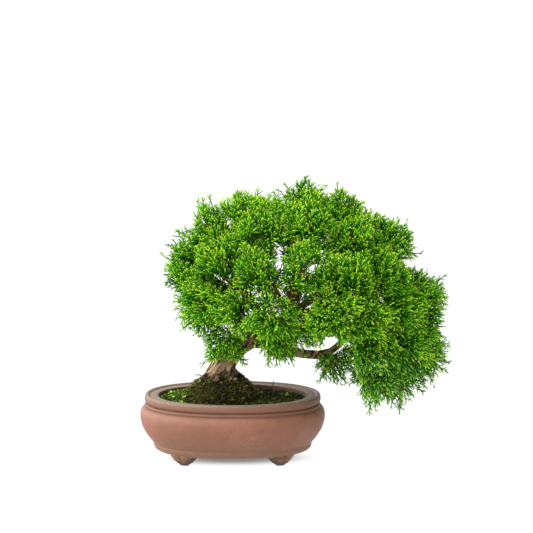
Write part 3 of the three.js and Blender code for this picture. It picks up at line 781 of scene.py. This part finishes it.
def sprigPattern(name, length, count, draw):  # one unit long: a zigzag axis of rods, with sharp forks
    joints = 2 if count < 8 else 3
    bends = [Vector()]
    for k in range(1, joints + 1):
        side = draw.uniform(0.5, 1) * sprig["zigzag"] * mm / length * (-1) ** k
        bends.append(Vector((side, draw.uniform(-0.5, 0.5) * side, k / joints)))
    rods = [(bends[k], bends[k + 1]) for k in range(joints)]
    sides = count - joints
    for k in range(sides):
        place = sprig["firstFork"] + sprig["forksOver"] * k / max(sides - 1, 1)
        joint = min(int(place * joints), joints - 1)
        start = bends[joint].lerp(bends[joint + 1], place * joints - joint)
        azimuth = k * math.pi + draw.uniform(-sprig["turn"], sprig["turn"])
        lean = draw.uniform(*sprig["lean"]) * (1 if joints == 2 else sprig["longLean"])
        out = math.sin(lean)
        way = Vector((out * math.cos(azimuth), out * math.sin(azimuth), math.cos(lean)))
        reach = min((1 - place) * length, sprig["rodShare"] * length, sprig["rod"][1])
        reach *= draw.uniform(*sprig["rodSpread"])
        rods.append((start, start + way * max(reach, sprig["rod"][0]) / length))
    shapes, shades = [], []
    base, rise = sprig["shade"]
    for number, (start, end) in enumerate(rods):
        shapes.append(wedge(start, end, sprig["base"] / length, sprig["tip"] / length))
        tone = draw.uniform(-sprig["shadeSpread"], sprig["shadeSpread"])
        low = base + rise * start.z + tone
        high = base + rise * end.z if number < joints - 1 else 1
        shades += [low] * 2 + [high + tone] * 3
    return joined(name, shapes, shades)


def solidCentre(shape):  # the centre of mass, which is in the spray's core
    total, moment = 0.0, Vector()
    for face in shape.faces:
        a, b, c = (v.co for v in face.verts)
        volume = a.dot(b.cross(c)) / 6
        total += volume
        moment += volume * (a + b + c) / 4
    return moment / total


def shootTips(shape, centre):  # the points of the solid's shoots: farther out than all that they join
    far = {v: (v.co - centre).length for v in shape.verts}
    longest = max(far.values())
    tips = [v.co for v in shape.verts
            if far[v] > 0.4 * longest and all(far[e.other_vert(v)] < far[v] for e in v.link_edges)]
    return np.array([tuple(tip) for tip in tips])


def readSprays():
    sprays = []
    for number, node in enumerate(sorted(n for n in frame["nodes"] if n.startswith("leaf_spray"))):
        shape = mergedSolid(node)
        centre = solidCentre(shape)
        tips = shootTips(shape, centre)
        shape.free()
        centre = np.array(centre)
        reach = norm(tips - centre, axis=1).max()
        root = woodPoints[norm(woodPoints - centre, axis=1).argmin()]
        balls = [(centre, reach)]
        balls += [(np.array(onPot(*spot)), size * mm) for spot, size in leaf["tufts"].get(number, [])]
        sprays.append({
            "node": node, "centre": centre, "tips": tips, "reach": reach, "root": root, "balls": balls,
        })
    return sprays


def around(points, spots):  # the spots' amounts, each fading out to its reach as seen from the front
    seen = (points - np.array(potMiddle)) / mm
    x, z = seen[:, 0], seen[:, 2] + leaf["sight"] * seen[:, 1]
    total = np.zeros(len(points))
    for atX, atZ, reach, amount in spots:
        total += amount * np.clip(1 - ((x - atX) ** 2 + (z - atZ) ** 2) / reach**2, 0, 1)
    return total


def depths(points, sprays):  # how deep each point is in the crown, and which spray it is deepest in
    balls = [(number, centre, reach) for number, s in enumerate(sprays) for centre, reach in s["balls"]]
    inside = np.stack([reach - norm(points - centre, axis=1) for _, centre, reach in balls])
    blended = leaf["blend"] * np.log(np.exp(inside / leaf["blend"]).sum(axis=0))
    bumps = [leaf["bump"] * noise.noise(Vector(p) / leaf["bumpEvery"])
             + leaf["fineBump"] * noise.noise(Vector(p) / leaf["fineEvery"]) for p in points]
    owners = np.array([number for number, _, _ in balls])[inside.argmax(axis=0)]
    return blended + np.array(bumps) + around(points, leaf["trims"]) * mm - leaf["shrink"], owners


def hanging(points):  # from 0 to 1, for the lowest shoots of the crown
    return np.clip((leaf["looseFrom"] - points[:, 2]) / leaf["looseOver"], 0, 1)


def sprigTips(number, sprays, draw):  # evenly spread in the crown's leafy shell, sparser farther in
    spray = sprays[number]
    places = []
    for centre, reach in spray["balls"]:
        count = int(leaf["tries"] * (reach / spray["reach"]) ** 2)
        ways = draw.normal(size=(count, 3))
        ways /= norm(ways, axis=1)[:, None]
        places.append(centre + ways * leaf["within"] * reach * np.cbrt(draw.random(count))[:, None])
    points = np.vstack(places)
    deep, owner = depths(points, sprays)
    wider = 1 + leaf["loose"] * hanging(points) + around(points, leaf["thin"])
    spaces = (leaf["spacing"] + leaf["thinning"] * deep) * wider
    kept, keptDeep = [], []
    lowest = min([spray["tips"][:, 2].min() - leaf["below"]] + [c[2] - r for c, r in spray["balls"][1:]])
    for point, depth, own, space in zip(points, deep, owner, spaces):
        if own != number or point[2] < lowest or not 0 < depth < leaf["deepest"]:
            continue
        if kept and norm(np.array(kept) - point, axis=1).min() < space:
            continue
        kept.append(point)
        keptDeep.append(depth)
    return np.array(kept), np.array(keptDeep)


def unit(v):
    return v / np.maximum(norm(v, axis=-1, keepdims=True), 1e-9)


crownAxis = [np.array(onPot(x, 0, 182)) for x in (20, 110)]  # what the crown's growth leads away from


def curveTo(start, grow, end):  # leaves along the spray's growth and bends over to its end
    reach = norm(end - start)
    middle = start + reach * (leaf["bow"] * grow + leaf["middle"] * (end - start) / reach)
    t = np.linspace(0, 1, leaf["stemSteps"])[:, None]
    return (1 - t) ** 2 * start + 2 * t * (1 - t) * middle + t**2 * end


def plumesOf(spray, tips):  # stems to the solid's own tips, and more where sprigs are far from any
    centre, reach = spray["centre"], spray["reach"]
    lift = np.clip((centre[2] - leaf["levelAt"]) / leaf["liftOver"], *leaf["lift"])
    out = unit((centre - np.clip(centre, *crownAxis)) * np.array(leaf["shallow"]))
    fromWood = leaf["fromWood"] * unit(centre - spray["root"])
    grow = unit(fromWood + leaf["fromAxis"] * out + np.array((0, 0, lift)))
    curves = []

    def addCurve(end):
        start = centre + grow * reach * leaf["spine"] * (unit(end - centre) @ grow - 1)
        curves.append(curveTo(start, grow, end))

    for tip in spray["tips"]:
        addCurve(centre + leaf["toTip"] * (tip - centre))
    far = norm(tips - centre, axis=1)
    for k in np.argsort(-far):
        if len(curves) >= leaf["plumes"] or far[k] < leaf["farFrom"] * reach:
            break
        if norm(np.concatenate(curves) - tips[k], axis=1).min() > leaf["plumeSpacing"]:
            addCurve(centre + leaf["toSprig"] * (tips[k] - centre))
    return np.array(curves), grow


def wandered(points):  # bends stems and sprigs together, so that nothing runs quite straight
    out = []
    for point in points:
        drift = noise.noise_vector(Vector(point) / leaf["wanderEvery"])
        out.append(point + leaf["wander"] * np.array(drift))
    return np.array(out)


def sprigsOf(curves, spray, grow, tips, deep, draw):  # each from where it can run with the growth
    points = curves[:, 2:].reshape(-1, 3)
    strands = np.clip(hanging(tips) + around(tips, leaf["strands"]), 0, 1)
    drift = np.array([noise.noise_vector(Vector(tip) / leaf["driftEvery"]) for tip in tips])
    drift *= (leaf["drift"] - leaf["strandDrift"] * strands)[:, None]
    outward = leaf["outward"] * unit(tips - spray["centre"]) * np.array(leaf["shallow"])
    aims = unit((leaf["along"] * grow + outward + drift) * np.array(leaf["flat"]))
    best = leaf["best"] + leaf["drape"] * strands
    roots = []
    for tip, aim, wanted in zip(tips, aims, best):
        way = tip - points
        length = norm(way, axis=1)
        cost = leaf["hurry"] * abs(length - wanted) + leaf["stray"] * (length - way @ aim)
        roots.append(points[cost.argmin()])
    last = unit(curves[:, -1] - curves[:, -3]) + 0.5 * grow
    reach = sprig["lengths"][1] * draw.uniform(*leaf["endSprig"], (len(curves), 1))
    ends = curves[:, -1] + unit(last) * reach
    keep = depths(ends, [spray])[0] > -leaf["overhang"]
    return (np.vstack([roots, curves[keep, -1]]), np.vstack([tips, ends[keep]]),
            np.concatenate([deep, np.zeros(keep.sum())]))


def foliageMaterial():  # living scale leaves: waxy, thin enough to glow, yellow-green where they are new, and darker deep in the crown, partly old leaves and partly painted shade
    material, add, shader = newMaterial("juniperScaleLeaf", 0.45, 0.1)
    where = add("ShaderNodeTexCoord", out="Object")
    cloud = add("ShaderNodeTexNoise", {"Vector": where, "Scale": 300, "Detail": 2})
    rust = add("ShaderNodeTexNoise", {"Vector": where, "Scale": 140, "Detail": 1})
    tipward, freshAndShade = (add("ShaderNodeAttribute", out="Fac", attribute_name=k) for k in ("tipward", "freshAndShade"))
    new = add("ShaderNodeMath", [tipward, 2.4], operation="POWER")
    # the colour follows the new growth and the painted shade and light set on each sprig
    share = add("ShaderNodeMapRange", [freshAndShade, 0, 1.3, 0.32, 1.25])
    age = add("ShaderNodeMath", [new, share], operation="MULTIPLY")
    age = add("ShaderNodeMath", [cloud, 0.5, age], operation="MULTIPLY_ADD")
    age = add("ShaderNodeMapRange", [age, 0.17, 1.22])
    colour = add("ShaderNodeValToRGB", [age], stops={
        0.0: "#0a2303", 0.25: "#206109", 0.55: "#469914", 0.8: "#78be1a", 1.0: "#b6dc38"})
    up = add("ShaderNodeSeparateXYZ", [where], "Z")
    colour = overlaid(add, colour, [(up, 0.14, 0.07, 0.15, "#74a85c"), (rust, 0.73, 0.79, 0.7, "#b07a45")])
    glow = add("ShaderNodeBsdfTranslucent", {"Color": colour})
    blend = add("ShaderNodeMixShader", {0: 0.16, 1: shader.outputs[0], 2: glow})
    tree = material.node_tree
    tree.links.new(blend, tree.nodes["Material Output"].inputs["Surface"])
    return coated(material, colour)


def makeFoliage(sprays):
    patterns = []
    for size, (length, count) in enumerate(zip(sprig["lengths"], sprig["rods"])):
        for variant in range(sprig["variants"]):
            name = "sprigPattern%d%d" % (size, variant)
            patterns.append(sprigPattern(name, length, count, random.Random(10 * size + variant)))
    patterns = patternSet("sprigPatterns", patterns)
    material = foliageMaterial()
    tree = sprigTree(material)
    stems, total, sprigs = [], 0, 0
    for number, spray in enumerate(sprays):
        draw = np.random.default_rng(leaf["seed"] + number)
        tips, deep = sprigTips(number, sprays, draw)
        curves, grow = plumesOf(spray, tips)
        roots, ends, deep = sprigsOf(curves, spray, grow, tips, deep, draw)
        top = np.clip((ends[:, 2] - leaf["topAt"]) / leaf["topOver"], 0, 1)
        roots, ends = wandered(roots), wandered(ends)
        aims = ends - roots
        sizes = norm(aims, axis=1)
        classes = np.abs(sizes[:, None] - np.array(sprig["lengths"])).argmin(axis=1)
        kinds = classes * sprig["variants"] + draw.integers(sprig["variants"], size=len(sizes))
        tone = np.array([noise.noise(Vector(end) / leaf["toneEvery"]) for end in ends])
        # darker deeper in the crown, partly older leaves inside and partly painted shade; brighter towards
        # the top, partly new growth and partly painted light from above
        freshAndShade = 1 - deep / leaf["deepest"] + draw.uniform(-leaf["spread"], leaf["spread"], len(sizes))
        freshAndShade += leaf["top"] * top
        freshAndShade += leaf["tone"] * tone
        freshAndShade -= leaf["hanging"] * hanging(ends)
        done = onPoints("leafySpray%02d" % number, tree, patterns, number, roots, aims, sizes, kinds, freshAndShade)
        paint(done, material, smooth=False)
        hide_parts(spray["node"])
        stems += [wandered(curve[::leaf["stemEvery"]]) for curve in curves]
        stems.append(np.array([spray["root"], spray["centre"] + grow * spray["reach"] * leaf["limbEnd"]]))
        total += triangles(done)
        sprigs += len(sizes)
    dropPatterns(patterns)
    print("foliage:", total, "triangles,", sprigs, "sprigs,", len(stems), "stems")
    return stems


woodPoints = np.array([vertex.co for vertex in barkedWood.data.vertices])
stemPaths = makeFoliage(readSprays())


def stemTree(material):  # a thin three-sided twig along every path, thinner towards its end
    tree, add, given = newTree("twigsOnPaths", {"Radius": "Float", "Tip radius": "Float"})
    curves = add("GeometryNodeMeshToCurve", {"Mesh": given["Geometry"]})
    along = add("GeometryNodeSplineParameter", out="Factor")
    radius = add("ShaderNodeMapRange", {
        "Value": along, "To Min": given["Radius"], "To Max": given["Tip radius"]})
    marked = add("GeometryNodeStoreNamedAttribute", {
        "Geometry": curves, "Name": "along", "Value": along}, data_type="FLOAT", domain="POINT")
    section = add("GeometryNodeCurvePrimitiveCircle", {"Resolution": 3, "Radius": 1.0})
    skin = add("GeometryNodeCurveToMesh", {
        "Curve": marked, "Profile Curve": section, "Scale": radius, "Fill Caps": True})
    finishTree(add, skin, material)
    return tree


def twigMaterial():  # young juniper twigs: smooth reddish-brown bark, green near the leaves
    material, add, _ = newMaterial("youngJuniperTwig", 0.7, 0.3)
    where = add("ShaderNodeTexCoord", out="Object")
    patch = add("ShaderNodeTexNoise", {"Vector": where, "Scale": 110, "Detail": 3})
    along = add("ShaderNodeAttribute", out="Fac", attribute_name="along")
    age = add("ShaderNodeMath", [patch, 0.6, along], operation="MULTIPLY_ADD")
    return coated(material, add("ShaderNodeValToRGB", [age], stops={
        0.3: "#6e3d26", 0.55: "#9c6442", 0.75: "#80682f", 1.0: "#4f7d24"}))


def makeStems(paths):
    vertices, edges = [], []
    for path in paths:
        edges += [(len(vertices) + k, len(vertices) + k + 1) for k in range(len(path) - 1)]
        vertices += list(path)
    obj = meshObject("stems", vertices, [], edges)
    runTree(obj, stemTree(twigMaterial()), {"Radius": leaf["stem"], "Tip radius": leaf["stemTip"]})
    return finishedCopy(obj, "fineTwigs")


fineTwigs = makeStems(stemPaths)
print("twigs:", triangles(fineTwigs), "triangles")
paint(fineTwigs, fineTwigs.data.materials[0])


# The mesh over the drain holes

def meshPlastic():  # moulded polypropylene mesh, dull
    material, add, _ = newMaterial("mouldedPolypropylene", 0.55, 0.4)
    where = add("ShaderNodeTexCoord", out="Object")
    grain = add("ShaderNodeTexNoise", {"Vector": where, "Scale": 300, "Detail": 3})
    return coated(material, add("ShaderNodeValToRGB", [grain], stops={0.3: "#1b1e1d", 0.7: "#333837"}))


plastic = meshPlastic()
for node in ("drain_mesh_left", "drain_mesh_right"):
    data = frame["nodes"][node].data
    data.materials.clear()
    data.materials.append(plastic)


# The floor, the light and the camera

studio = {
    "key": 1.1, "keyAngle": math.radians(80), "keyFrom": Vector((-1.0, -0.45, 1.2)),
    # the floor shows shade only in this oval under the pot, and glows white beyond it
    "floor": 12.0, "shade": (0.085, 0.041, 1), "shadeEdge": (0.4, 1.2), "glow": 0.2, "glowBeyond": 1.02,
    # how bright the walls of the white room are, and where they change
    "left": 3.8, "ahead": 1.09, "right": 0.68, "zenith": 1.5, "sides": (0.3, 0.85), "overhead": (0.3, 0.9),
    "camera": onPot(36.6, -3200, 698.8), "lens": 203.2, "aim": onPot(36.6, 0, 209.8),
}


def makeFloor():
    half = studio["floor"]
    corners = [(-half, -half, 0), (half, -half, 0), (half, half, 0), (-half, half, 0)]
    floor = meshObject("floor", corners, [(0, 1, 2, 3)])
    material, add, shader = newMaterial("whitePaper", 1.0, 0.2)
    where = add("ShaderNodeTexCoord", out="Object")
    fromPot = add("ShaderNodeMapping", {
        "Vector": where, "Location": onPot(0, 0, 0), "Scale": studio["shade"],
    }, vector_type="TEXTURE")
    share = add("ShaderNodeVectorMath", [fromPot], "Value", operation="LENGTH")
    beyond = add("ShaderNodeMapRange", [share, *studio["shadeEdge"]], interpolation_type="SMOOTHSTEP")
    tints = {0: beyond, 6: linear("#f6f0ee"), 7: linear("#000000")}
    paper = add("ShaderNodeMix", tints, 2, data_type="RGBA")
    glow = add("ShaderNodeMapRange", [beyond, 0, 1, studio["glow"], studio["glowBeyond"]])
    shader.inputs["Emission Color"].default_value = (1, 1, 1, 1)
    material.node_tree.links.new(glow, shader.inputs["Emission Strength"])
    floor.data.materials.append(coated(material, paper))


def makeLight():  # a white room, brighter at the left and above, and a large soft lamp
    world = bpy.data.worlds.new("whiteRoom")
    world.use_nodes = True
    tree = world.node_tree
    add = partial(addNode, tree)
    direction = add("ShaderNodeTexCoord", out="Generated")
    across = add("ShaderNodeSeparateXYZ", [direction], "X")
    up = add("ShaderNodeSeparateXYZ", [direction], "Z")
    near, far = studio["sides"]
    light = add("ShaderNodeMapRange", [across, -far, -near, studio["left"], studio["ahead"]])
    right = add("ShaderNodeMapRange", [across, near, far, 1, studio["right"] / studio["ahead"]])
    above = add("ShaderNodeMapRange", [up, *studio["overhead"], 1, studio["zenith"]])
    for more in (right, above):
        light = add("ShaderNodeMath", [light, more], operation="MULTIPLY")
    tree.links.new(light, tree.nodes["Background"].inputs["Strength"])
    tree.nodes["Background"].inputs["Color"].default_value = (1, 1, 1, 1)
    scene.world = world
    key = bpy.data.lights.new("key", "SUN")
    key.energy = studio["key"]
    key.angle = studio["keyAngle"]
    inScene("key", key).rotation_euler = studio["keyFrom"].to_track_quat("Z", "Y").to_euler()
    scene.view_settings.view_transform = "Standard"


def makeCamera():
    data = bpy.data.cameras.new("camera")
    data.lens = studio["lens"]
    data.sensor_width = 36
    camera = inScene("camera", data)
    camera.location = studio["camera"]
    camera.rotation_euler = (studio["camera"] - studio["aim"]).to_track_quat("Z", "Y").to_euler()
    scene.camera = camera


makeFloor()
makeLight()
makeCamera()
